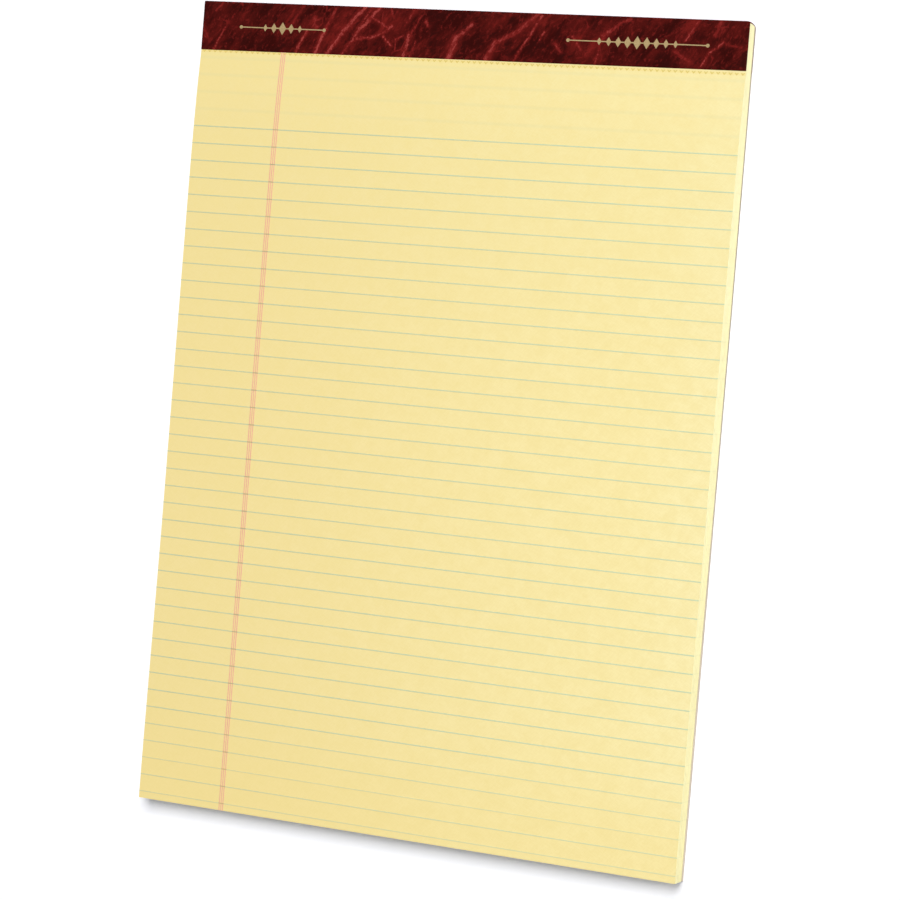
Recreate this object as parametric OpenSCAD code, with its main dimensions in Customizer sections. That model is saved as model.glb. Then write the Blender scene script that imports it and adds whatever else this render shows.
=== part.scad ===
// Ruled letter pad: a stack of sheets on a backing board, wire stitched at the head
// and bound there by a strip folded over the edge.
// The pad lies on its back. X runs across the page, Y runs up the page towards the
// binding and Z points out of the page. The origin is the middle of the underside.

/* [Pad] */
// Width across the page
pad_w = 215.9; // [150:0.1:300]
// Height from the foot to the head, over the binding strip
pad_h = 298.45; // [200:0.05:400]

/* [Sheets] */
// Thickness of the stack of sheets where the binding presses it
stack_head_t = 4.8; // [3:0.1:8]
// Thickness of the stack of sheets at its loose end
stack_free_t = 7; // [3:0.1:12]
// Distance below the strip over which the stack swells to its loose thickness
swell_reach = 110; // [60:1:140]
// Distance below the strip at which about two thirds of the swelling is done
swell_relax = 25; // [12:1:40]

/* [Perforation] */
// Distance from the strip's edge to the middle of the row of tear-off nicks
perf_gap = 0.8; // [0.6:0.1:3]
// Spacing of the nicks along the row
perf_pitch = 2.27; // [1.5:0.01:4]
// Width of a nick at its open side
perf_w = 1.3; // [0.4:0.1:1.4]
// Height of a nick on the page
perf_h = 0.6; // [0.3:0.1:0.9]
// Depth that a nick is pressed into the stack
perf_d = 0.15; // [0.05:0.05:0.4]

/* [Ruling] */
// Distance from the head to the first rule
first_rule = 46.22; // [25:0.01:60]
// Spacing of the rules
rule_pitch = 6.4; // [5:0.05:9]
// Width of a printed rule
rule_w = 0.35; // [0.2:0.05:0.6]
// Least distance from the last rule to the foot
foot_clear = 2; // [1:0.5:12]
// Distance from the page's left edge to the first margin line
margin_x = 34; // [20:0.5:50]
// Number of margin lines
margin_lines = 3; // [1:1:3]
// Spacing of the margin lines
margin_pitch = 0.75; // [0.7:0.05:3]
// Width of a margin line
margin_w = 0.35; // [0.2:0.05:0.5]
// Thickness that the ink stands on the paper
ink_t = 0.05; // [0.02:0.01:0.1]

/* [Binding strip] */
// Thickness of the strip
strip_t = 0.2; // [0.1:0.05:0.3]
// Height of the strip on the front
front_flap = 17.48; // [14:0.02:24]
// Height of the strip on the back
back_flap = 17.48; // [14:0.02:24]
// Bare paper left of the strip's left end
strip_inset = 0.3; // [0.1:0.1:2]
// Outer radius of the strip's fold over the front edge of the head
front_fold_r = 0.5; // [0.4:0.05:0.9]
// Outer radius of the strip's fold round the back edge of the head
back_fold_r = 2; // [1:0.1:2.5]

/* [Backing board] */
// Thickness of the board
board_t = 1; // [0.9:0.05:2]

/* [Wire stitches] */
// Number of stitches along the head
stitch_count = 4; // [2:1:5]
// Width of a stitch between the middles of its legs
stitch_w = 12; // [10:0.5:14]
// Diameter of the wire
wire_d = 0.6; // [0.4:0.05:0.7]
// Distance from the head to the row of stitches
stitch_drop = 8.5; // [5:0.5:11]
// Distance from each side of the pad to the middle of the nearest stitch
stitch_end = 30; // [20:1:35]
// Length of each end that is folded over under the board
stitch_fold = 4.5; // [2:0.5:4.5]
// Room between the wire and the paper round it
wire_play = 0.02; // [0.01:0.01:0.05]

/* [Foil ornament] */
// Distance from the head to the middle of both ornaments
foil_drop = 9; // [7:0.1:10]
// Distance from the left side to the middle of the left ornament
foil_left_x = 33.6; // [30:0.1:50]
// Length of the left ornament
foil_left_l = 36; // [24:0.5:40]
// Number of lozenges in the left ornament, an odd number
foil_left_n = 5; // [3:2:5]
// Distance from the right side to the middle of the right ornament
foil_right_x = 41.3; // [40:0.1:50]
// Length of the right ornament
foil_right_l = 54; // [36:0.5:60]
// Number of lozenges in the right ornament, an odd number
foil_right_n = 9; // [5:2:9]
// Height of the middle lozenge of each ornament
foil_h = 4.6; // [3:0.1:5]
// Height of the outermost lozenges
foil_end_h = 2.6; // [1.5:0.1:3]
// Width of a lozenge for each millimetre of its height
foil_slim = 0.66; // [0.4:0.02:0.7]
// Spacing of the lozenges
foil_pitch = 3.6; // [3.6:0.1:4]
// Thickness of the thin rule that runs through the lozenges
foil_rule_w = 0.4; // [0.3:0.05:0.8]
// Diameter of the dot at each end of the rule
foil_dot_d = 1.3; // [1:0.1:2]
// Thickness of the foil
foil_t = 0.05; // [0.02:0.01:0.1]

/* [Hidden] */
$fn = 64;

// Levels and edges that the pieces share
head_y = pad_h / 2;
foot_y = -pad_h / 2;
side_x = pad_w / 2;
head_t = board_t + stack_head_t + strip_t;
free_t = board_t + stack_free_t;
stack_top = head_t - strip_t;
front_edge_y = head_y - front_flap;
back_edge_y = head_y - back_flap;
// Length by which a cutting shape runs past what it cuts
over = 1;

// Share of the swelling that is done at a distance below the strip
function relaxed(s) = 1 - exp(-s / swell_relax);
function swell(s) = s <= 0 ? 0 : relaxed(min(s, swell_reach)) / relaxed(swell_reach);
// Height of the page at a distance below the strip
function page_z(s) = stack_top + (free_t - stack_top) * swell(s);
// The page's line from the strip down to its flat part, with short steps near the strip
swell_steps = 24;
function swell_s(k) = swell_reach * pow(k / swell_steps, 1.6);
function page_line(lift) =
    [for (k = [0:swell_steps]) [front_edge_y - swell_s(k), page_z(swell_s(k)) + lift]];
function reversed(points) = [for (k = [len(points) - 1:-1:0]) points[k]];

// Runs a section drawn in Y and Z along X
module along_x(x0, x1) {
    translate([x0, 0, 0]) rotate([90, 0, 90]) linear_extrude(x1 - x0) children();
}

// Section: what the two folds round away at the head, on a layer this deep in the strip
module head_corners(inset) {
    difference() {
        translate([head_y - back_fold_r, -over])
            square([back_fold_r + over, back_fold_r + over]);
        translate([head_y - back_fold_r, back_fold_r]) circle(back_fold_r - inset);
    }
    difference() {
        translate([head_y - front_fold_r, head_t - front_fold_r])
            square(front_fold_r + over);
        translate([head_y - front_fold_r, head_t - front_fold_r])
            circle(front_fold_r - inset);
    }
}

// One nick of the tear-off row: a small wedge that points to the foot
module nick() {
    linear_extrude(perf_d + over)
        polygon([[-perf_w / 2, perf_h / 2], [perf_w / 2, perf_h / 2], [0, -perf_h / 2]]);
}

module perforation() {
    nicks = floor(pad_w / perf_pitch);
    for (k = [0:nicks - 1])
        translate([(k - (nicks - 1) / 2) * perf_pitch, front_edge_y - perf_gap,
                   page_z(perf_gap) - perf_d])
            nick();
}

// Puts what is drawn round the middle of one stitch at the place of each stitch
module at_stitches() {
    span = pad_w - 2 * stitch_end;
    for (k = [0:stitch_count - 1])
        translate([-span / 2 + k * span / (stitch_count - 1), head_y - stitch_drop, 0])
            children();
}

wire_r = wire_d / 2;
// The wire bends as tightly as its holes and grooves let it
wire_bend = wire_r + 2.5 * wire_play;
crown_z = stack_top - wire_r;
fold_z = strip_t + wire_r;

// One stitch: a crown on the sheets, two legs, and two ends folded in under the board
module stitch() {
    translate([-stitch_w / 2 + wire_bend, 0, crown_z]) rotate([0, 90, 0])
        cylinder(h = stitch_w - 2 * wire_bend, r = wire_r);
    for (side = [0, 1]) mirror([side, 0, 0]) {
        translate([stitch_w / 2, 0, fold_z + wire_bend])
            cylinder(h = crown_z - fold_z - 2 * wire_bend, r = wire_r);
        translate([stitch_w / 2 - wire_bend, 0, crown_z - wire_bend]) wire_corner();
        translate([stitch_w / 2 - wire_bend, 0, fold_z + wire_bend])
            mirror([0, 0, 1]) wire_corner();
        translate([stitch_w / 2 - stitch_fold, 0, fold_z]) rotate([0, 90, 0])
            cylinder(h = stitch_fold - wire_bend, r = wire_r);
    }
}

// A quarter turn of the wire from pointing along X to pointing along Z
module wire_corner() {
    rotate([90, 0, 0]) rotate_extrude(angle = 90)
        translate([wire_bend, 0]) circle(wire_r);
}

// The holes and grooves that the stitches press into the sheets and the board
module stitch_ways() {
    way_w = wire_d + 2 * wire_play;
    way_l = stitch_w + way_w;
    fold_l = stitch_fold + wire_play;
    at_stitches() {
        translate([-way_l / 2, -way_w / 2, stack_top - wire_d - wire_play])
            cube([way_l, way_w, wire_d + wire_play + over]);
        for (side = [0, 1]) mirror([side, 0, 0]) {
            translate([stitch_w / 2, 0, strip_t - over])
                cylinder(h = head_t + over, r = way_w / 2);
            translate([stitch_w / 2 - fold_l, -way_w / 2, strip_t - over])
                cube([fold_l + way_w / 2, way_w, over + wire_d + wire_play]);
        }
    }
}

// Section: the layer of ink that covers the bare page
module ink_layer() {
    polygon(concat([[foot_y, free_t + ink_t]], reversed(page_line(ink_t)),
                   page_line(0), [[foot_y, free_t]]));
}

// Section: a tall band at each rule
module rule_bands() {
    rules = floor((pad_h - first_rule - foot_clear) / rule_pitch) + 1;
    for (k = [0:rules - 1])
        translate([head_y - first_rule - k * rule_pitch - rule_w / 2, 0])
            square([rule_w, free_t + over]);
}

module lozenge(h) {
    w = foil_slim * h;
    polygon([[0, h / 2], [w / 2, 0], [0, -h / 2], [-w / 2, 0]]);
}

// Outline of one ornament: lozenges that grow towards the middle, on a thin rule with a
// dot at each end
module lozenge_band(length, count) {
    middle = (count - 1) / 2;
    for (k = [-middle:middle])
        translate([k * foil_pitch, 0])
            lozenge(foil_h - (foil_h - foil_end_h) * abs(k) / middle);
    dot_x = (length - foil_dot_d) / 2;
    square([2 * dot_x, foil_rule_w], center = true);
    for (side = [-1, 1]) translate([side * dot_x, 0]) circle(foil_dot_d / 2);
}

// The stack of ruled sheets, thin at the stitched head and swollen at its loose end
module writing_sheets() {
    color([0.98, 0.92, 0.69])
    difference() {
        along_x(-side_x, side_x)
            difference() {
                polygon(concat([[foot_y, board_t], [foot_y, free_t]],
                               reversed(page_line(0)),
                               [[head_y - strip_t, stack_top], [head_y - strip_t, board_t]]));
                head_corners(strip_t);
            }
        perforation();
        stitch_ways();
    }
}

// The stiff board behind the sheets, pressed thinner by the strip under the head
module backing_board() {
    color([0.74, 0.66, 0.55])
    difference() {
        along_x(-side_x, side_x)
            difference() {
                translate([foot_y, 0]) square([pad_h - strip_t, board_t]);
                translate([back_edge_y, -over]) square([back_flap + over, strip_t + over]);
                head_corners(strip_t);
            }
        stitch_ways();
    }
}

// The binding strip: one sheet folded over the head, down the front and down the back
module binding_strip() {
    flap = max(front_flap, back_flap) + over;
    color([0.36, 0.06, 0.06])
    along_x(-side_x + strip_inset, side_x)
        difference() {
            union() {
                translate([back_edge_y, 0]) square([back_flap, head_t / 2]);
                translate([front_edge_y, head_t / 2]) square([front_flap, head_t / 2]);
            }
            difference() {
                translate([head_y - flap, strip_t])
                    square([flap - strip_t, head_t - 2 * strip_t]);
                head_corners(strip_t);
            }
            head_corners(0);
        }
}

// Fine steel wire that holds the sheets and the board together under the strip
module wire_stitches() {
    color([0.72, 0.73, 0.75])
    at_stitches() stitch();
}

// The pale rules printed across the page from edge to edge
module printed_rules() {
    color([0.69, 0.81, 0.72])
    along_x(-side_x, side_x)
        intersection() {
            ink_layer();
            rule_bands();
        }
}

// The margin lines, from the strip to the foot, broken where the rules cross them
module printed_margin() {
    color([0.92, 0.69, 0.58])
    difference() {
        for (k = [0:margin_lines - 1]) {
            x = -side_x + margin_x + k * margin_pitch;
            along_x(x - margin_w / 2, x + margin_w / 2)
                difference() {
                    ink_layer();
                    rule_bands();
                }
        }
        perforation();
    }
}

// Two ornaments of metal foil stamped on the front of the strip
module foil_ornament() {
    color([0.72, 0.64, 0.46])
    translate([0, head_y - foil_drop, head_t]) {
        translate([-side_x + foil_left_x, 0, 0]) linear_extrude(foil_t)
            lozenge_band(foil_left_l, foil_left_n);
        translate([side_x - foil_right_x, 0, 0]) linear_extrude(foil_t)
            lozenge_band(foil_right_l, foil_right_n);
    }
}

writing_sheets();
backing_board();
binding_strip();
wire_stitches();
printed_rules();
printed_margin();
foil_ornament();
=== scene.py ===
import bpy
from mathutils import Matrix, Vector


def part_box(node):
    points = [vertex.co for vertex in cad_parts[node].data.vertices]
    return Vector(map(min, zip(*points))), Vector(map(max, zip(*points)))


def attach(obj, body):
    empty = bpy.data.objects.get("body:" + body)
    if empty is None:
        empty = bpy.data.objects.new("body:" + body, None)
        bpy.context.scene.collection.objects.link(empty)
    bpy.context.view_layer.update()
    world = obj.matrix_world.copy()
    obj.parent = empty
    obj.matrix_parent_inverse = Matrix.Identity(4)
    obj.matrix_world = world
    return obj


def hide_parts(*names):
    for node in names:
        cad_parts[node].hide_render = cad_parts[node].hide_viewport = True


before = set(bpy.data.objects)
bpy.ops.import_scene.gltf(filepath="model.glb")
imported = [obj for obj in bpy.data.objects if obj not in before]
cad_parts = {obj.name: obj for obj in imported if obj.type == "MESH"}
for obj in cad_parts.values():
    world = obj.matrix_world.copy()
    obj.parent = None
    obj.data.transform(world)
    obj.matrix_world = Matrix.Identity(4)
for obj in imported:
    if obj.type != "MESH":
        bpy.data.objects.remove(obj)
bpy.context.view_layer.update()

import math

import bpy
import numpy as np
from mathutils import Matrix

# A ruled letter pad that lies on its back: X runs to its right, Y to its head and Z up.
# Lengths are in millimetres until a mesh is made, and Blender's own are in metres.
MM = 0.001


def node_box(name):
    """Lowest and highest corner of a solid of the frame, in millimetres."""
    return [np.array(corner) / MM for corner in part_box(name)]


# Sizes read from the frame
sheets_lo, sheets_hi = node_box("writing_sheets")
strip_lo, strip_hi = node_box("binding_strip")
rules_lo, rules_hi = node_box("printed_rules")
margin_lo, margin_hi = node_box("printed_margin")
side_x = sheets_hi[0]
foot_y = sheets_lo[1]
head_y = strip_hi[1]
board_t = sheets_lo[2]
page_z = sheets_hi[2]
head_z = strip_hi[2]
strip_t = head_y - sheets_hi[1]
stack_z = head_z - strip_t
strip_edge_y = strip_lo[1]
ink_t = rules_hi[2] - page_z

# The stack swells below the strip: how far, how soon, and the steps of the solid's curve
swell_reach = 110.0
swell_relax = 25.0
swell_steps = 24
swell_spread = 1.6

# Folds of the strip: a tight one in front, and a long one that draws the head in towards the back
front_fold_r = 0.5
back_fold_in = 1.55

# The strip is folded a little askew, at the head and at the front flap's edge, which starts so
# far below the solid's at its left end and rises by so much to its right end
head_skew = 0.11
flap_low = 0.40
flap_rise = 0.73

# The head's crushed right end, and how far along the flap it and the skew ease in
crush_w = 1.2
crush_d = 0.55
head_ease = 11

# The left edge: how far it runs out at the foot, how far it draws in above, and where each of
# them starts or ends as a share of the way from head to foot
foot_runout = 0.62
runout_from = 0.62
side_hollow = 0.13
hollow_until = 0.75

# How far the pad stands to the left at its head, and over what length
lean = 0.16
lean_reach = 100

# How far the right side is drawn in over the board, how much more at the foot, and from which Y
# down and over what length that grows
tuck = 0.06
foot_tuck = 0.28
tuck_from = 20
tuck_reach = 110

# Tear-off nicks: below the strip, from one to the next, and each one's width, height and depth
nick_gap = 0.84
nick_pitch = 2.27
nick_w = 1.6
nick_h = 1.0
nick_d = 0.15

# Ruling: a rule's width, how far its film stands out past it, and the first and last rule
rule_w = 0.35
rule_spread = 0.03
rule_pitch = 6.4
first_rule_y = rules_hi[1] - rule_w / 2
last_rule_y = rules_lo[1] + rule_w / 2

# Sheets in the stack, the groove between two, and how far one may stand proud of the rest
sheet_count = 50
groove_h = 0.1
groove_d = 0.06
sheet_play = 0.05

# The board's rounded edge, and the length over which the strip's back flap presses it thinner
board_round = 0.14
press_run = 0.3

# The white world's share of the light, and what the floor adds to reach white before the camera
world_share = 0.20
floor_glow = 0.155

random = np.random.default_rng(11)

# Edges that turn by more than this are shaded as corners
sharp_angle = math.radians(28)


def eased(t):
    """Smooth step: 3 t squared less 2 t cubed, with t held between 0 and 1."""
    t = np.clip(t, 0, 1)
    return t * t * (3 - 2 * t)


def across(x):
    """The share of the way from the left side to the right."""
    return (x + side_x) / (2 * side_x)


# Shape of the pad, as functions of the place on it

def page_level(y):
    """Height of the page at y.

    At a distance s below the strip the stack has swollen by the share
    (1 - exp(-s / relax)) / (1 - exp(-reach / relax)), in straight steps between the
    distances reach * (k / steps) ** spread, as in the solid that the print lies on.
    """
    s = swell_reach * (np.arange(swell_steps + 1) / swell_steps) ** swell_spread
    share = (1 - np.exp(-s / swell_relax)) / (1 - math.exp(-swell_reach / swell_relax))
    return np.interp(strip_edge_y - y, s, stack_z + (page_z - stack_z) * share)


def left_runout(y):
    """How far the left edge stands out: it draws in by half a sine wave above, and runs out by a
    smooth step at the foot."""
    t = (head_y - y) / (head_y - foot_y)
    out = foot_runout * eased((t - runout_from) / (1 - runout_from))
    return out - side_hollow * np.sin(math.pi * np.clip(t / hollow_until, 0, 1))


def runout(x, y):
    """How far the page is drawn out to the left, easing in from a fifth of its width."""
    return left_runout(y) * eased((-x - 0.8 * side_x) / (0.2 * side_x))


def head_lean(y):
    """How far the pad stands to the left: easing out from the head to lean_reach below it."""
    return lean * (1 - eased((head_y - y) / lean_reach))


def drawn_in(x, y, share):
    """How far the right side is drawn in: most at the foot, and less the higher the sheet, whose
    share of the way up is given."""
    return (tuck + foot_tuck * eased((tuck_from - y) / tuck_reach)) * (1 - share) * (x > side_x - 1)


def head_dip(x, y):
    """How far the head is set back, easing in along the flap: it is folded a little askew, and
    crushed at its right end by a quarter of an ellipse."""
    along = eased((y - (head_y - head_ease)) / head_ease)
    t = np.clip((x - (side_x - crush_w)) / crush_w, 0, 1)
    return (crush_d * (1 - np.sqrt(1 - t * t)) + head_skew * (x / side_x - 1)) * along


def flap_edge(x):
    """The front flap's lower edge, folded a little askew: lower at the left end."""
    return strip_edge_y - flap_low + flap_rise * across(x)


def head_face(z, depth):
    """Y of the head at height z, on the layer this deep in the strip: a small arc in front, and
    below it a quarter of an ellipse, back_fold_in deep and as tall as the rest of the head."""
    front_z = head_z - front_fold_r
    front = np.sqrt(np.clip((front_fold_r - depth) ** 2 - np.clip(z - front_z, 0, None) ** 2, 0, None))
    fall = np.clip(front_z - z, 0, None) / (front_z - depth)
    back = (back_fold_in - depth) * np.sqrt(np.clip(1 - fall * fall, 0, None))
    return np.where(z > front_z, head_y - front_fold_r + front, head_y - back_fold_in + back)


# Meshes

def grid_faces(grid):
    """Four-cornered faces over a grid: each takes an entry, the next along, the one beyond it and
    the next across, so that they face up where the first way is X and the second is Y."""
    faces = np.stack([grid[:-1, :-1], grid[1:, :-1], grid[1:, 1:], grid[:-1, 1:]], axis=2)
    return faces.reshape(-1, 4, *grid.shape[2:])


def rim(grid):
    """The outer entries of a grid, anticlockwise from its first corner and back to it."""
    return np.concatenate([grid[:, 0], grid[-1, 1:], grid[-2::-1, -1], grid[0, -2::-1]])


def spread(*columns):
    """Joins arrays of X, Y and Z, or of U and V, into points, each array stretched to the same grid."""
    return np.stack(np.broadcast_arrays(*columns), axis=-1)


def flat_box(box, s, t):
    """A place on the flat map: shares s across and t up within a box of left, foot, right, head."""
    left, foot, right, head = box
    return spread(left + (right - left) * s, foot + (head - foot) * t)


class Shell:
    """Points, faces, unwrapped places and marks of one closed mesh while it is put together."""

    def __init__(self):
        self.points, self.faces, self.maps, self.finish, self.marks = [], [], [], [], []
        self.count = 0

    def add_points(self, points):
        """Adds a grid of points and returns the grid of their numbers."""
        numbers = self.count + np.arange(points[..., 0].size).reshape(points.shape[:-1])
        self.points.append(points.reshape(-1, 3))
        self.count += numbers.size
        return numbers

    def add_faces(self, faces, maps, finish=0, mark=0.0):
        """Adds faces of point numbers with their places on the flat map, a material and a mark."""
        self.faces.append(faces)
        self.maps.append(maps.reshape(-1, 2))
        self.finish.append(np.full(len(faces), finish))
        self.marks.append(np.full(len(faces), mark))

    def add_block(self, lower, upper, s, t, boxes, levels=None, shares=(), finish=(0, 0, 0),
                  marks=(0.0, 0.0, 0.0), keep=slice(None)):
        """A closed block between a lower and an upper grid of points.

        s and t are the shares of the way along the grid's two sides. levels holds rings of
        points between the two grids' rims, lowest first, and shares how far up each lies.
        boxes are the places on the flat map of the lower grid, the walls at the foot, right,
        head and left, and the upper grid. finish and marks are for lower grid, walls and
        upper grid. keep says which upper faces are made.
        """
        low, high = self.add_points(lower), self.add_points(upper)
        rings = [rim(low)[:, None], rim(high)[:, None]]
        if levels is not None:
            between = self.add_points(levels)
            rings.insert(1, np.concatenate([between, between[:, :1]], axis=1).T)
        rings = np.concatenate(rings, axis=1)
        climb = np.concatenate([[0.0], shares, [1.0]])
        along, up = np.meshgrid(s, t, indexing="ij")
        flat = flat_box(boxes[0], along, up)
        self.add_faces(grid_faces(low.T), grid_faces(flat.swapaxes(0, 1)), finish[0], marks[0])
        ends = np.cumsum([0, len(s) - 1, len(t) - 1, len(s) - 1, len(t) - 1])
        for side, box in enumerate(boxes[1:5]):
            part = slice(ends[side], ends[side + 1] + 1)
            if side % 2:
                flat = flat_box(box, climb, rim(up)[part, None])
            else:
                flat = flat_box(box, rim(along)[part, None], climb)
            self.add_faces(grid_faces(rings[part]), grid_faces(flat), finish[1], marks[1])
        flat = grid_faces(flat_box(boxes[5], along, up))
        self.add_faces(grid_faces(high)[keep], flat[keep], finish[2], marks[2])
        return high

    def make(self, name, node, materials, mark_name=None):
        points = np.concatenate(self.points) * MM
        sizes = np.concatenate([np.full(len(f), f.shape[1]) for f in self.faces])
        finish = np.concatenate(self.finish)
        mesh = bpy.data.meshes.new(name)
        mesh.vertices.add(len(points))
        mesh.vertices.foreach_set("co", points.astype(np.float32).ravel())
        mesh.loops.add(int(sizes.sum()))
        corners = np.concatenate([f.ravel() for f in self.faces])
        mesh.loops.foreach_set("vertex_index", corners.astype(np.int32))
        mesh.polygons.add(len(sizes))
        mesh.polygons.foreach_set("loop_start", (np.cumsum(sizes) - sizes).astype(np.int32))
        mesh.polygons.foreach_set("material_index", finish.astype(np.int32))
        mesh.update(calc_edges=True)
        layer = mesh.uv_layers.new(name="OFBake")
        layer.uv.foreach_set("vector", np.concatenate(self.maps).astype(np.float32).ravel())
        if mark_name:
            marks = mesh.attributes.new(mark_name, "FLOAT", "FACE")
            marks.data.foreach_set("value", np.concatenate(self.marks).astype(np.float32))
        mesh.validate()
        mesh.shade_smooth()
        mesh.set_sharp_from_angle(angle=sharp_angle)
        for material in materials:
            mesh.materials.append(material)
        piece = bpy.data.objects.new(name, mesh)
        bpy.context.scene.collection.objects.link(piece)
        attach(piece, "root")
        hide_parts(node)
        return piece


# Materials

def paint(red, green, blue):
    """A colour as seen on a screen, 0 to 255 each, as the linear values that shaders take."""
    share = np.array([red, green, blue]) / 255
    linear = np.where(share <= 0.04045, share / 12.92, ((share + 0.055) / 1.055) ** 2.4)
    return (*linear.tolist(), 1.0)


# Inks: the rules' at the left and, lighter with painted light, at the right, the margin lines', and the
# tint that the margin lines give a rule that crosses them
ink_colour = paint(191, 202, 167)
ink_painted_lighter_at_right = paint(199, 216, 182)
margin_colour = paint(236, 172, 152)
margin_veil = paint(250, 225, 215)


class Wiring:
    """Adds nodes to a tree; an input is a number, a colour, a vector or another node's output."""

    def __init__(self, tree):
        self.tree = tree

    def add(self, kind, inputs=(), **settings):
        node = self.tree.nodes.new("ShaderNode" + kind)
        for name, value in settings.items():
            setattr(node, name, value)
        for key, value in dict(inputs).items():
            self.put(node.inputs[key], value)
        return node

    def put(self, socket, value):
        if isinstance(value, bpy.types.NodeSocket):
            self.tree.links.new(value, socket)
        else:
            socket.default_value = value

    def maths(self, operation, *values, clamp=False):
        return self.add("Math", enumerate(values), operation=operation, use_clamp=clamp).outputs[0]

    def vector(self, operation, *values):
        node = self.add("VectorMath", enumerate(values), operation=operation)
        return node.outputs["Value" if operation in ("LENGTH", "DOT_PRODUCT") else "Vector"]

    def scaled(self, vector, factor):
        return self.add("VectorMath", {"Vector": vector, "Scale": factor}, operation="SCALE").outputs[0]

    def mix(self, share, first, second, blend="MIX"):
        node = self.add("Mix", {0: share, 6: first, 7: second}, data_type="RGBA", blend_type=blend)
        return node.outputs[2]

    def span(self, value, low, high, to_low=0.0, to_high=1.0):
        """Eases a value between low and high into the range to_low to to_high."""
        inputs = {"Value": value, "From Min": low, "From Max": high, "To Min": to_low, "To Max": to_high}
        return self.add("MapRange", inputs, interpolation_type="SMOOTHSTEP").outputs[0]

    def noise(self, place, scale, detail=2.0, roughness=0.5):
        inputs = {"Vector": place, "Scale": scale, "Detail": detail, "Roughness": roughness}
        return self.add("TexNoise", inputs).outputs[0]

    def turned(self, place, angle, scale):
        """The place turned by an angle in degrees and then stretched."""
        spun = self.add("Mapping", {"Vector": place, "Rotation": (0, 0, math.radians(angle))})
        return self.add("Mapping", {"Vector": spun.outputs[0], "Scale": scale}).outputs[0]

    def group(self, tree, inputs):
        """A node group in its place, as its outputs."""
        node = self.add("Group", node_tree=tree)
        for key, value in inputs.items():
            self.put(node.inputs[key], value)
        return node.outputs

    def attribute(self, name, output="Fac"):
        return self.add("Attribute", attribute_name=name).outputs[output]

    def millimetres(self):
        """The place on the object in millimetres."""
        return self.scaled(self.add("TexCoord").outputs["Object"], 1 / MM)

    def parts(self, vector):
        return self.add("SeparateXYZ", {0: vector}).outputs


def new_group(name, inputs, outputs):
    """An empty shader group: inputs as name, type and value, outputs as name and type."""
    tree = bpy.data.node_groups.new(name, "ShaderNodeTree")
    for label, kind, value in inputs:
        socket = tree.interface.new_socket(label, in_out="INPUT", socket_type="NodeSocket" + kind)
        socket.default_value = value
    for label, kind in outputs:
        tree.interface.new_socket(label, in_out="OUTPUT", socket_type="NodeSocket" + kind)
    given = tree.nodes.new("NodeGroupInput").outputs
    out = tree.nodes.new("NodeGroupOutput").inputs
    return Wiring(tree), given, out


def new_material(name, **sockets):
    """A material with one Principled shader, whose plain sockets are set here."""
    material = bpy.data.materials.new(name)
    material.use_nodes = True
    shader = material.node_tree.nodes["Principled BSDF"]
    for label, value in sockets.items():
        shader.inputs[label.replace("_", " ")].default_value = value
    return material, Wiring(material.node_tree), shader.inputs


def raise_grain(w, shader, height, strength, distance):
    """Raises the surface by a height that changes over it, as a slope of its normal."""
    bump = w.add("Bump", {"Strength": strength, "Distance": distance * MM, "Height": height})
    w.put(shader["Normal"], bump.outputs[0])


def fibre_group():
    """Pulp: a soft cloud of one size, and short fibres lying two ways across it."""
    w, given, out = new_group(
        "pulp_fibre",
        [("Place", "Vector", (0, 0, 0)), ("Cloud Size", "Float", 4.0), ("Fibre Width", "Float", 0.25)],
        [("Cloud", "Float"), ("Fibre", "Float")],
    )
    cloud = w.noise(given["Place"], w.maths("DIVIDE", 1.0, given["Cloud Size"]), 3.0, 0.6)
    fine = w.maths("DIVIDE", 1.0, given["Fibre Width"])
    one = w.noise(w.turned(given["Place"], 25, (0.14, 1, 1)), fine, 1.0)
    other = w.noise(w.turned(given["Place"], -50, (0.14, 1, 1)), fine, 1.0)
    w.put(out["Cloud"], cloud)
    w.put(out["Fibre"], w.maths("ADD", one, w.maths("SUBTRACT", other, 0.5)))
    return w.tree


def page_group(fibre):
    """The page's tone with painted light and shade: painted light makes it paler to the right and along
    the right edge down to near the foot, painted shade makes it duller at the head and darker at the foot,
    most at its left; it is also deeper yellow at the foot, clouded and fibrous."""
    w, given, out = new_group(
        "page_tone_and_painted_light",
        [("Place", "Vector", (0, 0, 0))],
        [("Color", "Color"), ("Height", "Float")],
    )
    x, y, _ = w.parts(given["Place"])
    right = w.span(x, -side_x, side_x)
    # Painted light: paler to the right
    tone = w.mix(right, paint(244, 224, 158), paint(252, 237, 175))
    # Painted light: paler along the right edge, down to near the foot
    pale = w.maths("MULTIPLY", w.span(x, side_x - 30, side_x), w.span(y, foot_y + 8, foot_y + 30))
    tone = w.mix(pale, tone, paint(253, 240, 182))
    # Painted shade: darker towards the foot, most at the left
    to_left = w.maths("SUBTRACT", 0.12, w.maths("MULTIPLY", right, 0.12))
    deep = w.maths("MULTIPLY", w.span(y, foot_y + 90, foot_y), to_left)
    tone = w.mix(deep, tone, paint(236, 214, 143))
    # Painted shade: duller towards the head, and a little more just below the strip
    tone = w.mix(w.span(y, -10, 125, 0.0, 0.2), tone, paint(226, 214, 152))
    tone = w.mix(w.span(y, 119, 130, 0.0, 0.1), tone, paint(224, 214, 152))
    tone = w.mix(w.span(y, foot_y + 55, foot_y, 0.0, 0.26), tone, paint(248, 223, 143))
    pulp = w.group(fibre, {"Place": given["Place"], "Cloud Size": 5.0, "Fibre Width": 0.28})
    cloudy = w.span(pulp["Cloud"], 0.3, 0.7, 0.0, 0.3)
    tone = w.mix(cloudy, tone, paint(241, 221, 148))
    specks = w.span(pulp["Fibre"], 0.2, 0.8, 0.0, 0.24)
    w.put(out["Color"], w.mix(specks, tone, paint(236, 215, 138)))
    w.put(out["Height"], pulp["Fibre"])
    return w.tree


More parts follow.
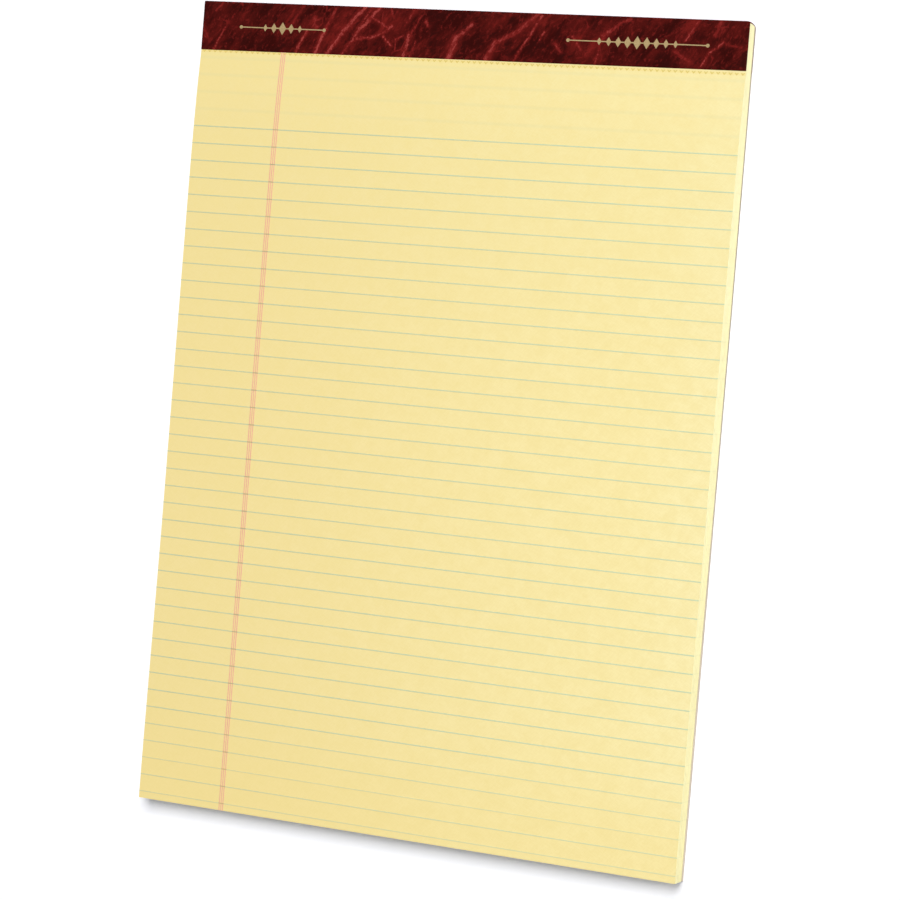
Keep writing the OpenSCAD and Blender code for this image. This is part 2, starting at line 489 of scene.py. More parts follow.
def near(w, value, middle, half, soft):
    """A mask round a line: 1 within half of the middle and 0 past half and soft."""
    away = w.maths("ABSOLUTE", w.maths("SUBTRACT", value, middle))
    return w.span(away, half, half + soft, 1.0, 0.0)


def rule_mask(w, y, first, last, half, soft):
    """A mask of evenly spaced rules between two of them."""
    start = w.maths("ADD", w.maths("SUBTRACT", first, y), rule_pitch / 2)
    line = near(w, w.maths("FLOORED_MODULO", start, rule_pitch), rule_pitch / 2, half, soft)
    above = w.maths("LESS_THAN", y, first + rule_pitch / 2)
    below = w.maths("GREATER_THAN", y, last - rule_pitch / 2)
    return w.maths("MULTIPLY", line, w.maths("MULTIPLY", above, below))


def page_material(page):
    """The top sheet: its tone with painted light and shade, rules of the next sheet showing through, and
    nicks painted olive as shade, in a row darkened to a deeper yellow as painted shade."""
    material, w, shader = new_material("yellow_page", Roughness=0.9, Specular_IOR_Level=0.15)
    place = w.millimetres()
    # own is the page's tone with its painted light and shade
    own = w.group(page, {"Place": place})
    y = w.parts(place)["Y"]
    ghosts = rule_mask(w, y, first_rule_y + 4 * rule_pitch, first_rule_y + rule_pitch, 0.1, 0.9)
    tone = w.mix(w.maths("MULTIPLY", ghosts, 0.09), own["Color"], ink_colour)
    # Painted shade: a deeper yellow row round the nicks
    row = near(w, y, strip_edge_y - nick_gap + 0.1, 0.1, 0.7)
    tone = w.mix(w.maths("MULTIPLY", row, 0.3), tone, paint(232, 204, 112))
    # Painted shade: olive on the nicks' faces, as much as their nick mark says
    w.put(shader["Base Color"], w.mix(w.attribute("nick"), tone, paint(214, 188, 92)))
    raise_grain(w, shader, own["Height"], 0.12, 0.03)
    return material


def edge_material(fibre):
    """The cut edges of the sheets: pale, each sheet a little off the next, the rules' ends showing."""
    material, w, shader = new_material("cut_sheet_edges", Roughness=0.95, Specular_IOR_Level=0.1)
    place = w.millimetres()
    _, y, z = w.parts(place)
    sheet = w.noise(w.add("CombineXYZ", {2: z}).outputs[0], 6.5, 1.0)
    pulp = w.group(fibre, {"Place": place, "Cloud Size": 3.0, "Fibre Width": 0.2})
    tone = w.mix(w.span(sheet, 0.3, 0.7), paint(249, 241, 189), paint(254, 250, 208))
    tone = w.mix(w.span(pulp["Cloud"], 0.35, 0.65, 0.0, 0.3), tone, paint(247, 238, 184))
    ends = rule_mask(w, y, first_rule_y, last_rule_y, 0.12, 0.25)
    w.put(shader["Base Color"], w.mix(w.maths("MULTIPLY", ends, 0.08), tone, ink_colour))
    raise_grain(w, shader, pulp["Fibre"], 0.2, 0.03)
    return material


def ink_material(name, page, colour, mark=None, crossings=None):
    """Thin ink on the page: the page's tone, with its painted light and shade, under a colour whose
    strength wanders along the line.

    colour is one colour, or a list of its tones at the left and at the right edge, the right one lighter
    as painted light.
    mark names the attribute that holds each line's own strength, and crossings is where lines of another
    ink lie below: their middle, half their width, and their colour.
    """
    material, w, shader = new_material(name, Roughness=0.85, Specular_IOR_Level=0.15)
    place = w.millimetres()
    # own is the page's tone with its painted light and shade
    own = w.group(page, {"Place": place})
    strength = w.span(w.noise(place, 0.6, 3.0, 0.7), 0.3, 0.7, 0.78, 1.0)
    if mark:
        strength = w.maths("MULTIPLY", strength, w.attribute(mark))
    x = w.parts(place)["X"]
    if isinstance(colour, list):
        colour = w.mix(w.span(x, -side_x, side_x), *colour)
    tone = w.mix(strength, own["Color"], colour)
    if crossings:
        middle, half, other = crossings
        tone = w.mix(near(w, x, middle, half, 0.1), tone, other, "MULTIPLY")
    w.put(shader["Base Color"], tone)
    raise_grain(w, shader, own["Height"], 0.12, 0.03)
    return material


def vein_group():
    """A vein of the marbling: a line from start to end, full to its width and fading over its
    softness, with a faint halo, laid over the veins so far. Fray moves its edges."""
    w, given, out = new_group(
        "marble_vein",
        [("Veins", "Float", 0.0), ("Place", "Vector", (0, 0, 0)), ("Fray", "Float", 0.0),
         ("Start", "Vector", (0, 0, 0)), ("End", "Vector", (1, 0, 0)), ("Width", "Float", 0.5),
         ("Softness", "Float", 0.5), ("Strength", "Float", 1.0)],
        [("Veins", "Float")],
    )
    run = w.vector("SUBTRACT", given["End"], given["Start"])
    way = w.vector("SUBTRACT", given["Place"], given["Start"])
    along = w.vector("DOT_PRODUCT", way, run)
    share = w.maths("DIVIDE", along, w.vector("DOT_PRODUCT", run, run), clamp=True)
    aside = w.vector("SUBTRACT", way, w.scaled(run, share))
    away = w.maths("ADD", w.vector("LENGTH", aside), given["Fray"])
    edge = w.maths("MULTIPLY_ADD", given["Softness"], 0.8, given["Width"])
    line = w.span(away, w.maths("MULTIPLY", given["Width"], 0.5), edge, given["Strength"], 0.0)
    fainter = w.maths("MULTIPLY", given["Strength"], 0.42)
    halo = w.span(away, 0.0, w.maths("MULTIPLY_ADD", edge, 2.0, 0.4), fainter, 0.0)
    w.put(out["Veins"], w.maths("MAXIMUM", given["Veins"], w.maths("MAXIMUM", line, halo)))
    return w.tree


# Veins of the marbling on the front of the strip: start and end as distances
# from the strip's left end and down from the head, then half width, softness and strength
VEINS = [
    (5.4, 17.6, 9.6, 9.2, 0.15, 0.35, 0.75), (9.6, 9.2, 13.0, 4.6, 0.10, 0.8, 0.35),
    (5.0, 3.4, 8.4, -0.6, 0.20, 1.0, 0.45), (0.4, 9.2, 3.0, 15.0, 0.1, 0.9, 0.4),
    (36.2, 9.6, 42.0, 0.0, 0.15, 0.9, 0.4), (40.2, 17.6, 43.6, 9.6, 0.30, 0.5, 0.8),
    (47.6, 17.8, 51.8, 8.2, 0.50, 0.5, 0.9), (51.8, 8.2, 55.6, 0.5, 0.2, 1.0, 0.5),
    (52.4, 18.2, 58.8, 9.6, 0.55, 0.4, 0.95), (58.8, 9.6, 67.4, -0.6, 0.6, 0.6, 0.86),
    (58.6, 18.0, 64.2, 10.2, 0.20, 0.35, 0.95), (64.2, 10.2, 73.6, -0.4, 0.50, 0.5, 0.9),
    (64.4, 9.6, 70.0, -0.4, 0.15, 0.4, 0.75), (64.6, 11.4, 70.4, 11.2, 0.3, 0.6, 0.65),
    (70.4, 11.2, 74.8, 9.6, 0.3, 0.4, 0.8), (74.8, 9.6, 78.6, 13.6, 0.3, 0.4, 0.75),
    (75.2, 9.4, 78.8, 6.4, 0.35, 0.4, 0.8), (70.8, 3.8, 77.0, 7.2, 0.3, 0.6, 0.7),
    (78.6, 12.8, 84.0, 9.6, 0.12, 0.3, 0.65), (84.0, 17.8, 85.8, 9.6, 0.5, 0.6, 0.8),
    (86.4, 9.6, 90.0, 2.6, 0.1, 0.8, 0.45), (86.6, 17.4, 88.8, 11.6, 0.2, 0.3, 0.6),
    (83.8, 6.0, 87.4, 0.0, 0.12, 0.4, 0.5), (92.4, 4.4, 92.9, 5.4, 0.4, 1.0, 0.55),
    (101.8, 18.0, 105.0, 9.8, 1.10, 0.8, 0.72), (105.0, 9.8, 111.0, 4.6, 0.45, 0.5, 0.85),
    (116.4, 18.2, 120.2, 11.2, 0.75, 0.8, 0.66), (120.2, 11.2, 128.0, 7.2, 0.5, 1.1, 0.55),
    (128.0, 7.2, 137.0, -0.8, 0.5, 1.2, 0.58), (127.8, 17.8, 131.6, 10.6, 0.15, 0.3, 0.75),
    (131.6, 10.6, 137.8, 0.4, 0.22, 0.4, 0.85), (137.4, 9.6, 139.2, 6.6, 0.1, 0.35, 0.75),
    (143.4, 10.4, 145.6, 13.2, 0.25, 1.0, 0.6), (150.0, 7.6, 153.6, 12.4, 0.2, 0.8, 0.6),
    (159.4, 17.6, 160.4, 11.0, 0.15, 0.5, 0.6), (161.4, 6.8, 171.8, 0.4, 0.4, 0.9, 0.6),
    (192.8, 7.6, 197.2, 0.4, 0.22, 0.5, 0.7), (189.4, 11.6, 194.6, 14.4, 0.3, 1.2, 0.5),
    (197.6, 18.0, 201.8, 12.0, 0.15, 0.35, 0.75), (201.8, 12.0, 206.6, 7.8, 0.2, 0.4, 0.85),
    (203.4, 5.6, 205.6, 0.6, 0.3, 1.0, 0.5), (206.6, 8.0, 213.6, 9.4, 0.1, 0.8, 0.4),
]


# Zones of the marbling: middle as distances from the left end and down from the
# head, half length, half height, and how much redder (above 0) or darker (below 0) it is
ZONES = [
    (26, 15.5, 13, 3.4, -1.0), (95, 11.5, 6.5, 7.0, -1.0), (112, 11.0, 4.5, 3.8, -1.1),
    (121, 6.5, 8, 3.2, -0.6), (138, 12.5, 10, 4.8, -0.7), (149, 15.5, 4, 2.2, -0.7),
    (167, 15.5, 3.6, 2.6, -0.7), (182, 15.0, 6, 3.2, -0.9), (28, 2.0, 3.5, 2.8, -0.6),
    (9, 3.0, 5, 2.6, -0.5), (100, 3.0, 8, 3.6, -0.7), (203, 8.5, 4, 4.0, -0.5),
    (214, 15.5, 3.4, 2.6, -0.7), (74, 15.5, 5, 2.2, -0.6), (130, 2.0, 3.2, 2.8, -0.6),
    (178, 12.0, 4, 3.0, -0.4), (57, 11.0, 12, 7.0, 0.6), (72, 2.5, 6, 3.0, 0.7),
    (47, 7.0, 9, 3.4, 0.5), (136, 3.0, 4, 3.4, 0.9), (157, 12.5, 6.5, 4.4, 0.6),
    (197, 2.5, 4, 3.0, 0.6), (210, 5.0, 5, 4.4, 0.6), (120, 2.2, 5, 2.6, 0.5),
    (4, 12.5, 3.8, 4.6, 0.5), (85, 13.0, 3.6, 4.4, 0.4), (193, 14.5, 5, 2.8, 0.5),
    (80, 7.0, 4, 3.2, 0.5), (105, 12.0, 3.5, 4.0, 0.4), (150, 5.5, 3.5, 3.0, 0.4),
]


def zone_field(u, v):
    """Redder above 0 and darker below: the sum of soft round zones, each falling off as a bell."""
    middle_u, middle_v, half_u, half_v, strength = np.array(ZONES).T
    far = ((u[:, None] - middle_u) / half_u) ** 2 + ((v[:, None] - middle_v) / half_v) ** 2
    return (np.exp(-far) * strength).sum(axis=1)


def marble_material(vein):
    """Marbled book cloth: dark clouds drawn out along one slant, veins, and a net of fine cracks."""
    material, w, shader = new_material("marbled_wrap", Roughness=0.65, Specular_IOR_Level=0.012)
    flat = w.attribute("flat_place", "Vector")
    wander = w.add("TexNoise", {"Vector": flat, "Scale": 0.16, "Detail": 4.0, "Roughness": 0.6})
    wander = w.vector("SUBTRACT", wander.outputs["Color"], (0.5, 0.5, 0.5))
    place = w.vector("ADD", flat, w.scaled(wander, 2.4))
    slant = w.turned(place, 56, (0.34, 1.0, 1.0))
    zone = w.attribute("zone")
    cloud = w.noise(slant, 0.17, 5.0, 0.66)
    cloud = w.maths("MULTIPLY_ADD", zone, 0.10, w.maths("MULTIPLY_ADD", cloud, 0.75, 0.125))
    tone = w.mix(w.span(cloud, 0.40, 0.55), paint(54, 11, 9), paint(85, 20, 17))
    tone = w.mix(w.span(cloud, 0.53, 0.67), tone, paint(123, 31, 27))
    mottle = w.noise(w.turned(place, 56, (0.6, 1.0, 1.0)), 0.75, 4.0, 0.74)
    tone = w.mix(w.span(mottle, 0.50, 0.71, 0.0, 0.72), tone, paint(129, 36, 32))
    dark = w.noise(w.turned(place, 40, (0.5, 1.0, 1.0)), 0.26, 5.0, 0.68)
    dark = w.maths("MULTIPLY_ADD", zone, -0.07, dark)
    tone = w.mix(w.span(dark, 0.52, 0.65, 0.0, 0.9), tone, paint(51, 13, 11))
    cracks = w.add("TexVoronoi", {"Vector": w.turned(place, 56, (0.6, 1.0, 1.0)), "Scale": 0.24},
                   feature="DISTANCE_TO_EDGE").outputs["Distance"]
    patches = w.span(w.noise(flat, 0.11, 2.0), 0.5, 0.66)
    patches = w.maths("MULTIPLY", patches, w.span(zone, -0.4, 0.1))
    veins = w.maths("MULTIPLY", w.span(cracks, 0.0, 0.08, 0.55, 0.0), patches)
    fray = w.maths("MULTIPLY", w.maths("SUBTRACT", w.noise(flat, 1.0, 3.0, 0.7), 0.5), 1.8)
    for u0, v0, u1, v1, width, softness, strength in VEINS:
        inputs = {"Veins": veins, "Place": place, "Fray": fray, "Start": (u0, v0, 0), "End": (u1, v1, 0),
                  "Width": width, "Softness": softness, "Strength": strength}
        veins = w.group(vein, inputs)["Veins"]
    broken = w.span(w.noise(place, 0.45, 3.0, 0.65), 0.32, 0.58, 0.55, 1.0)
    streaks = w.span(w.noise(w.turned(place, 58, (0.15, 1.0, 1.0)), 2.1, 3.0, 0.65), 0.34, 0.62, 0.6, 1.18)
    veins = w.maths("MULTIPLY", veins, w.maths("MULTIPLY", broken, streaks))
    tone = w.mix(w.span(veins, 0.0, 0.42, 0.0, 0.9), tone, paint(127, 33, 30))
    tone = w.mix(w.span(veins, 0.36, 0.86, 0.0, 0.95), tone, paint(168, 68, 63))
    grain = w.noise(flat, 2.6, 3.0, 0.75)
    tone = w.mix(w.span(grain, 0.35, 0.7, 0.0, 0.35), tone, paint(44, 9, 8))
    w.put(shader["Base Color"], w.mix(w.attribute("cut_edge"), tone, paint(104, 34, 30)))
    raise_grain(w, shader, grain, 0.25, 0.04)
    return material


def board_material(fibre):
    """Chipboard: grey-brown pulp with dark and pale flecks, its right edge darkened at the head with
    painted shade and paled at the foot with painted light."""
    material, w, shader = new_material("grey_chipboard", Roughness=0.9, Specular_IOR_Level=0.2)
    place = w.millimetres()
    coarse = w.group(fibre, {"Place": place, "Cloud Size": 9.0, "Fibre Width": 0.5})
    turned = w.turned(place, 70, (1, 1, 1))
    fine = w.group(fibre, {"Place": turned, "Cloud Size": 1.6, "Fibre Width": 0.22})
    tone = w.mix(w.span(coarse["Cloud"], 0.3, 0.7), paint(187, 167, 142), paint(201, 181, 156))
    tone = w.mix(w.span(fine["Cloud"], 0.3, 0.7, 0.0, 0.5), tone, paint(180, 160, 135))
    tone = w.mix(w.span(coarse["Fibre"], 0.62, 0.8, 0.0, 0.6), tone, paint(218, 202, 178))
    tone = w.mix(w.span(fine["Fibre"], 0.64, 0.78, 0.0, 0.7), tone, paint(122, 106, 88))
    flecks = w.noise(place, 1.3, 2.0, 0.5)
    tone = w.mix(w.span(flecks, 0.68, 0.74, 0.0, 0.7), tone, paint(94, 80, 68))
    x, y, _ = w.parts(place)
    # Painted shade on the right edge towards the head, painted light towards the foot
    edge = w.mix(w.span(y, 60, -110), paint(160, 148, 130), paint(208, 198, 188))
    at_side = w.maths("MULTIPLY", w.maths("GREATER_THAN", x, side_x - 1), 0.75)
    w.put(shader["Base Color"], w.mix(at_side, tone, edge))
    raise_grain(w, shader, coarse["Fibre"], 0.3, 0.08)
    return material


def foil_material():
    """Dull stamped foil: thin gold, rubbed a little where the cloth's grain stands up."""
    material, w, shader = new_material("dull_gold_foil", Metallic=0.35, Specular_IOR_Level=0.15)
    rubbed = w.noise(w.millimetres(), 2.6, 3.0, 0.75)
    tone = w.mix(w.span(rubbed, 0.4, 0.7), paint(172, 150, 108), paint(150, 127, 88))
    w.put(shader["Base Color"], tone)
    w.put(shader["Roughness"], w.span(rubbed, 0.3, 0.7, 0.42, 0.6))
    raise_grain(w, shader, rubbed, 0.2, 0.03)
    return material


def wire_material():
    """Bright drawn steel with fine lines along it."""
    material, w, shader = new_material("drawn_steel", Metallic=1.0)
    lines = w.noise(w.turned(w.millimetres(), 0, (0.1, 3, 3)), 3.0, 2.0)
    w.put(shader["Base Color"], w.mix(w.span(lines, 0.3, 0.7), paint(186, 188, 192), paint(160, 162, 166)))
    w.put(shader["Roughness"], w.span(lines, 0.3, 0.7, 0.28, 0.42))
    return material


# Pieces

def stack_columns():
    """X of the page's grid lines: one at each side of every nick, and the two side edges."""
    nicks = int(2 * side_x / nick_pitch)
    return np.concatenate([[-side_x], (np.arange(nicks + 1) - nicks / 2) * nick_pitch, [side_x]])


def stack_rows():
    """Y of the page's grid lines from foot to head, and the number of the row below the nicks.

    They are even on the level part, follow the swell's own steps, pass a little below and above
    the nicks, and are few under the strip.
    """
    level = np.linspace(foot_y, strip_edge_y - swell_reach, 30)[:-1]
    steps = np.arange(swell_steps, 1, -1) / swell_steps
    swell = strip_edge_y - swell_reach * steps ** swell_spread
    nick_reach = nick_h / 2 + 0.08
    nicks = strip_edge_y - nick_gap + np.array([-nick_reach, nick_reach])
    under = [strip_edge_y, strip_edge_y + 7, head_y - 2.2, float(head_face(stack_z, strip_t))]
    return np.concatenate([level, swell, nicks, under]), len(level) + len(swell)


def sheet_stack(page, edges):
    """The ruled sheets: a level page that swells below the strip, over walls of fifty cut edges.

    The walls go up sheet by sheet, two levels to a sheet and one in the groove between two.
    Each sheet stands out from the cut by a few slow waves round the pad, which fade towards
    the binding, and the sheets are pressed flat under the strip.
    """
    shell = Shell()
    columns = stack_columns()
    rows, nick_row = stack_rows()
    x, y = np.meshgrid(columns, rows, indexing="ij")
    level = page_level(y)
    upper = spread(x - runout(x, y) - head_lean(y), y - head_dip(x, y), level)
    low_y = np.minimum(y, head_face(board_t, strip_t))
    lower = spread(x - head_lean(y) - drawn_in(x, y, 0), low_y - head_dip(x, low_y), board_t)

    out_x = np.zeros_like(x)
    out_x[0], out_x[-1] = -1, 1
    out_y = np.zeros_like(x)
    out_y[:, 0], out_y[:, -1] = -1, 1
    ring_x, ring_y, ring_top, out_x, out_y = [rim(g)[:-1] for g in (x, y, level, out_x, out_y)]
    sheet = np.arange(1, sheet_count)[:, None]
    shares = ((sheet + np.array([-groove_h, 0, groove_h])) / sheet_count).ravel()
    turn = np.linspace(0, 2 * math.pi, len(ring_x), endpoint=False)
    waves = 0
    for turns in (0, 1, 3, 7):
        size = random.normal(size=(sheet_count, 1))
        start = random.uniform(0, 2 * math.pi, (sheet_count, 1))
        waves = waves + size * np.cos(turns * turn + start)
    loose = eased((strip_edge_y - 4 - ring_y) / (strip_edge_y - foot_y)) ** 0.6
    proud = np.clip(waves / 2, -2, 2) * sheet_play * loose
    proud[[0, -1]] = 0
    groove = np.minimum(proud[:-1], proud[1:]) - groove_d
    proud = np.stack([proud[:-1], groove, proud[1:]], axis=1).reshape(len(shares), -1)
    share = shares[:, None]
    wall_z = board_t + (ring_top - board_t) * share
    wall_x = ring_x + out_x * proud - runout(ring_x, ring_y) * share - head_lean(ring_y)
    wall_x = wall_x - drawn_in(ring_x, ring_y, share)
    at_head = head_face(wall_z, strip_t) - np.maximum(-proud, 0)
    wall_y = np.where(out_y > 0, at_head, ring_y + np.minimum(out_y, 0) * proud)
    levels = spread(wall_x, wall_y - head_dip(ring_x, wall_y), wall_z)

    boxes = [(0.90, 0.005, 0.99, 0.90), (0.005, 0.915, 0.655, 0.95), (0.67, 0.005, 0.77, 0.90),
             (0.005, 0.96, 0.655, 0.995), (0.785, 0.005, 0.885, 0.90), (0.005, 0.005, 0.655, 0.90)]
    t = (rows - foot_y) / (rows[-1] - foot_y)
    cells = np.ones((len(columns) - 1, len(rows) - 1), bool)
    cells[1:-1, nick_row] = False
    high = shell.add_block(lower, upper, across(columns), t, boxes, levels, shares,
                           finish=(1, 1, 0), keep=cells.ravel())
    add_nicks(shell, high, columns, nick_row, boxes[-1], rows)
    return shell.make("sheet_stack", "writing_sheets", [page, edges], "nick")


def add_nicks(shell, high, columns, row, box, rows):
    """Cuts a V into each cell of the row of nicks: three corners at the page, and a smaller tab
    between them that hangs from the V's open side and is lowered at its tip. The mark says how
    much of the nicks' painted olive shade a face takes: most on the V's walls, a little on the tab."""
    middles = (columns[1:-2] + columns[2:-1]) / 2
    corner_x = np.array([-nick_w / 2, nick_w / 2, 0])
    corner_y = strip_edge_y - nick_gap + np.array([nick_h / 2, nick_h / 2, -nick_h / 2])
    opening = spread(middles[:, None] + corner_x, corner_y, page_level(corner_y))
    tab_gap, tab_rise, tab_w = 0.06, 0.42, 0.5
    tab_y = corner_y + np.array([-tab_gap, -tab_gap, tab_rise * nick_h])
    tab_z = page_level(tab_y) - np.array([0, 0, nick_d])
    tab = spread(middles[:, None] + tab_w * corner_x, tab_y, tab_z)
    left, right, tip = shell.add_points(opening).T
    low_left, low_right, low_tip = shell.add_points(tab).T
    a, b = high[1:-2, row], high[2:-1, row]
    d, c = high[1:-2, row + 1], high[2:-1, row + 1]

    def faces(*sets):
        return np.concatenate([np.stack(corners, axis=1) for corners in sets])

    points = np.concatenate(shell.points)
    # Marks of painted shade: 0.8 on the V's walls and 0.2 on the tab's lowered face
    for made, mark in [
        (faces((a, tip, left, d), (tip, b, c, right), (d, left, right, c)), 0.0),
        (faces((a, b, tip)), 0.0),
        (faces((left, tip, low_tip, low_left), (tip, right, low_right, low_tip)), 0.8),
        (faces((right, left, low_left, low_right)), 0.0),
        (faces((low_left, low_tip, low_right)), 0.2),
    ]:
        place = points[made]
        t = (place[..., 1] - foot_y) / (rows[-1] - foot_y)
        shell.add_faces(made, flat_box(box, across(place[..., 0]), t), 0, mark)


def backing_sheet(board):
    """The backing board: a die-cut slab with its lower and upper edges rounded over, pressed
    thinner where the strip's back flap lies, and turned up round the back of the head."""
    shell = Shell()
    r = board_round
    columns = np.concatenate([[-side_x + r], np.linspace(-side_x + 4, side_x - 4, 22), [side_x - r]])
    rows = np.concatenate([[foot_y + r], np.linspace(foot_y + 4, strip_edge_y - 4, 28),
                           [strip_edge_y - press_run, strip_edge_y, head_y - 6, head_y - back_fold_in]])
    x, y = np.meshgrid(columns, rows, indexing="ij")
    under = np.where(y >= strip_edge_y, strip_t, 0.0)
    top_y = np.where(y >= rows[-1], head_face(board_t, strip_t), y)
    lower = spread(x - head_lean(y), y - head_dip(x, y), under)
    upper = spread(x - head_lean(y), top_y - head_dip(x, top_y), board_t)
    angle = np.radians([30, 60])
    climb = r * (1 - np.cos(angle))
    climb = np.concatenate([climb, [r, board_t - r], board_t - climb[::-1]])
    inset = r * (1 - np.sin(angle))
    inset = np.concatenate([inset, [0, 0], inset[::-1]])
    ring_x, ring_y, ring_z = [rim(g)[:-1] for g in (x, y, under)]
    wall_z = ring_z + (board_t - ring_z) * climb[:, None] / board_t
    reach = r - inset[:, None]
    wall_x = np.where(np.abs(ring_x) > side_x - 1, ring_x + np.sign(ring_x) * reach, ring_x)
    at_foot, at_head = ring_y < foot_y + 1, ring_y > head_y - back_fold_in - 0.1
    wall_y = np.where(at_foot, ring_y - reach, np.where(at_head, head_face(wall_z, strip_t), ring_y))
    boxes = [(0.005, 0.005, 0.655, 0.90), (0.005, 0.915, 0.655, 0.95), (0.67, 0.005, 0.70, 0.90),
             (0.005, 0.96, 0.655, 0.995), (0.71, 0.005, 0.74, 0.90), (0.75, 0.005, 0.99, 0.90)]
    t = (rows - foot_y) / (rows[-1] - foot_y)
    levels = spread(wall_x - head_lean(wall_y), wall_y - head_dip(wall_x, wall_y), wall_z)
    shell.add_block(lower, upper, across(columns), t, boxes, levels, climb / board_t)
    return shell.make("backing_sheet", "backing_board", [board])


def wrap_layer(x, depth):
    """One layer of the strip, this deep in it, as a grid of X by the way round the head.

    The way runs up the front flap, over the small arc, down the ellipse and along the back flap.
    The front flap's cut edge is pressed thin over its last half millimetre.
    """
    over_front = np.radians(np.linspace(90, 0, 8))
    over_back = np.radians(np.linspace(0, -90, 22)[1:])
    front_r, front_z = front_fold_r - depth, head_z - front_fold_r
    edge_share = 0.03
    flap_share = np.concatenate([[0, 0.4 * edge_share, edge_share], np.linspace(0.1, 1, 10)[:-1]])
    pressed = 0.8 * (1 - eased(flap_share / edge_share))
    start = flap_edge(x)[:, None]
    flap_y = start + (head_y - front_fold_r - start) * flap_share
    round_y = np.concatenate([head_y - front_fold_r + front_r * np.cos(over_front),
                              head_y - back_fold_in + (back_fold_in - depth) * np.cos(over_back),
                              np.linspace(head_y - back_fold_in, strip_edge_y, 9)[1:]])
    z = np.concatenate([head_z - depth - (strip_t - depth) * pressed,
                        front_z + front_r * np.sin(over_front),
                        front_z + (front_z - depth) * np.sin(over_back), np.full(8, depth)])
    y = np.concatenate([flap_y, np.broadcast_to(round_y, (len(x), len(round_y)))], axis=1)
    x = x[:, None]
    return spread(x - head_lean(y), y - head_dip(x, y), z)


def binding_wrap(marble):
    """The marbled strip: one sheet folded over the head, with dark cut edges all round."""
    shell = Shell()
    end = side_x - crush_w + crush_w * np.sin(np.radians(np.linspace(0, 90, 9)))
    x = np.concatenate([np.linspace(-side_x, end[0], 60)[:-1], end])
    outer, inner = wrap_layer(x, 0.0), wrap_layer(x, strip_t)
    step = np.linalg.norm(np.diff(outer[len(x) // 2], axis=0), axis=1)
    way = np.concatenate([[0], np.cumsum(step)])
    s, t = (x - x[0]) / (x[-1] - x[0]), way / way[-1]
    boxes = [(0.005, 0.91, 0.995, 0.95), (0.005, 0.96, 0.995, 0.965), (0.90, 0.97, 0.92, 0.995),
             (0.005, 0.97, 0.80, 0.975), (0.93, 0.97, 0.95, 0.995), (0.0, 0.0, 2.0, 0.45)]
    shell.add_block(inner, outer, s, t, boxes, marks=(0.0, 1.0, 0.0))

    # The outside is laid out twice as long as the flat map is wide, so its right half goes above
    # its left one
    outside = shell.maps[-1].reshape(-1, 4, 2)
    outside[outside[..., 0].mean(axis=1) > 1] += (-1.0, 0.45)
    shell.maps[-1] = outside.reshape(-1, 2)
    piece = shell.make("binding_wrap", "binding_strip", [marble], "cut_edge")

    # The marbling's own place: from the left end, and down from the head, below 0 on the back
    folded = head_y - strip_edge_y - front_fold_r
    down = np.where(way < folded, head_y - outer[..., 1], folded - way)
    flat = spread(x[:, None] - x[0], down, 0.0).reshape(-1, 3)
    flat = np.concatenate([flat, flat])
    place = piece.data.attributes.new("flat_place", "FLOAT_VECTOR", "POINT")
    place.data.foreach_set("vector", flat.astype(np.float32).ravel())
    zone = piece.data.attributes.new("zone", "FLOAT", "POINT")
    zone.data.foreach_set("value", zone_field(flat[:, 0], flat[:, 1]).astype(np.float32))
    return piece


# Rules printed fainter than full, by their number from the head, which starts at 0: a little in
# the upper half, and more near the foot
FAINT_RULES = dict.fromkeys(range(4, 23), 0.92)
FAINT_RULES.update({35: 0.75, 36: 0.72, 37: 0.54, 38: 0.74, 39: 0.6})


def ruled_lines(ink):
    """The printed rules: thin films on the page from edge to edge, following its cut edge."""
    shell = Shell()
    columns = np.linspace(-1, 1, 25) * side_x
    half = rule_w / 2 + rule_spread
    count = int(round((first_rule_y - last_rule_y) / rule_pitch)) + 1
    for k in range(count):
        y = first_rule_y - k * rule_pitch + np.array([-half, half])
        x, y = np.meshgrid(columns, y, indexing="ij")
        film = spread(x - runout(x, y) - head_lean(y), y, page_level(y))
        foot, head = k / count, (k + 0.8) / count
        below, wall, above = [(left, foot, right, head) for left, right in
                              ((0.93, 0.95), (0.96, 0.99), (0.005, 0.90))]
        shell.add_block(film, film + (0, 0, ink_t), across(columns), np.array([0.0, 1.0]),
                        [below, wall, wall, wall, wall, above], marks=[FAINT_RULES.get(k, 1.0)] * 3)
    return shell.make("ruled_lines", "printed_rules", [ink], "strength")


# Stage

def seen_rays(w):
    """1 for what the camera sees straight, by reflection or through glass, and 0 for the light
    that falls on the object."""
    path = w.add("LightPath").outputs
    seen = w.maths("MAXIMUM", path["Is Camera Ray"], path["Is Glossy Ray"])
    return w.maths("MAXIMUM", seen, path["Is Transmission Ray"])


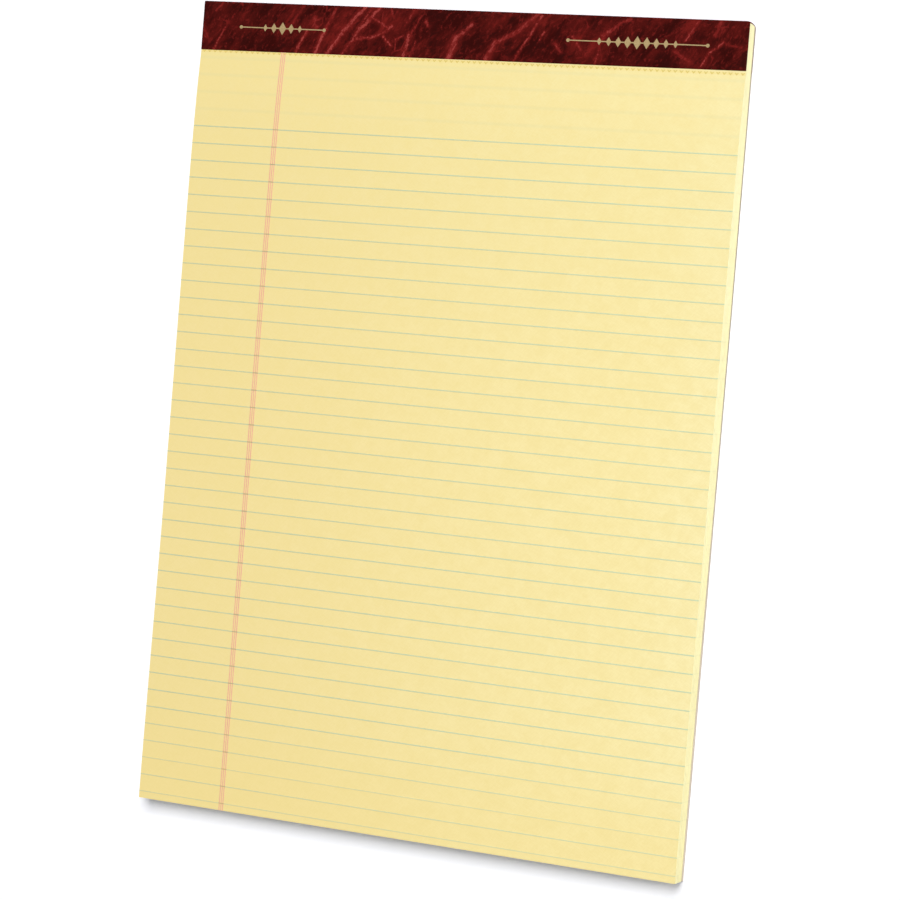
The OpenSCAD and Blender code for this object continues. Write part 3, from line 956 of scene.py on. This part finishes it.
def floor_and_world():
    """A white floor and world. The lamps' share of the light is on the floor's diffuse colour, and a
    little light of its own, for the camera and for reflections, brings the lit floor to white."""
    mesh = bpy.data.meshes.new("floor")
    half = 3
    corners = [(-half, -half, 0), (half, -half, 0), (half, half, 0), (-half, half, 0)]
    mesh.from_pydata(corners, [], [(0, 1, 2, 3)])
    floor = bpy.data.objects.new("floor", mesh)
    bpy.context.scene.collection.objects.link(floor)
    material, w, shader = new_material(
        "floor_white", Base_Color=(0.97, 0.972, 0.985, 1), Roughness=1.0, Specular_IOR_Level=0.0,
        Emission_Color=(0.72, 0.76, 1, 1))
    mesh.materials.append(material)
    w.put(shader["Emission Strength"], w.maths("MULTIPLY", seen_rays(w), floor_glow))

    world = bpy.data.worlds.new("studio")
    world.use_nodes = True
    bpy.context.scene.world = world
    w = Wiring(world.node_tree)
    background = world.node_tree.nodes["Background"]
    background.inputs["Color"].default_value = (1, 1, 1, 1)
    strength = w.maths("MULTIPLY_ADD", seen_rays(w), 1 - world_share, world_share)
    w.put(background.inputs["Strength"], strength)


def soft_lamp(name, place, share, size):
    """A square lamp that faces the pad's middle and lights a level surface there by this share.

    A lamp of power P at a distance d, a fraction c of it upright, lights a level surface by
    P * c / (pi * pi * d * d) of what a white world does.
    """
    place = np.array(place) * MM
    distance = np.linalg.norm(place)
    data = bpy.data.lights.new(name, "AREA")
    data.size = size * MM
    data.energy = share * (math.pi * distance) ** 2 / (place[2] / distance)
    lamp = bpy.data.objects.new(name, data)
    lamp.location = place
    z = place / distance
    x = np.cross((0, 1, 0), z)
    x /= np.linalg.norm(x)
    lamp.rotation_euler = Matrix([x, np.cross(z, x), z]).transposed().to_euler()
    bpy.context.scene.collection.objects.link(lamp)


def camera():
    """The camera at the photograph's place: in millimetres, and its turn in degrees."""
    data = bpy.data.cameras.new("camera")
    data.sensor_width = 36
    data.lens = 127.0
    data.clip_end = 20
    view = bpy.data.objects.new("camera", data)
    view.location = np.array([495.403, 40.926, 1032.442]) * MM
    view.rotation_euler = np.radians([-0.2114, 25.5299, 5.1972])
    bpy.context.scene.collection.objects.link(view)
    bpy.context.scene.camera = view


def finish_node(node, material):
    """Gives a solid of the frame its material."""
    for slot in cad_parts[node].material_slots:
        slot.material = material


bpy.context.scene.view_settings.view_transform = "Standard"
camera()
floor_and_world()
soft_lamp("head_lamp", place=(1250, 3300, 5900), share=0.84, size=4050)
soft_lamp("right_lamp", place=(2000, 200, 520), share=0.065, size=900)

pulp = fibre_group()
page_tone_and_painted_light = page_group(pulp)
sheet_stack(page_material(page_tone_and_painted_light), edge_material(pulp))
backing_sheet(board_material(pulp))
binding_wrap(marble_material(vein_group()))
margin_lines = ((margin_lo[0] + margin_hi[0]) / 2, 1.1, margin_veil)
ruled_lines(ink_material("rule_ink", page_tone_and_painted_light, [ink_colour, ink_painted_lighter_at_right], "strength", margin_lines))
finish_node("printed_margin", ink_material("margin_ink", page_tone_and_painted_light, margin_colour))
finish_node("foil_ornament", foil_material())
finish_node("wire_stitches", wire_material())
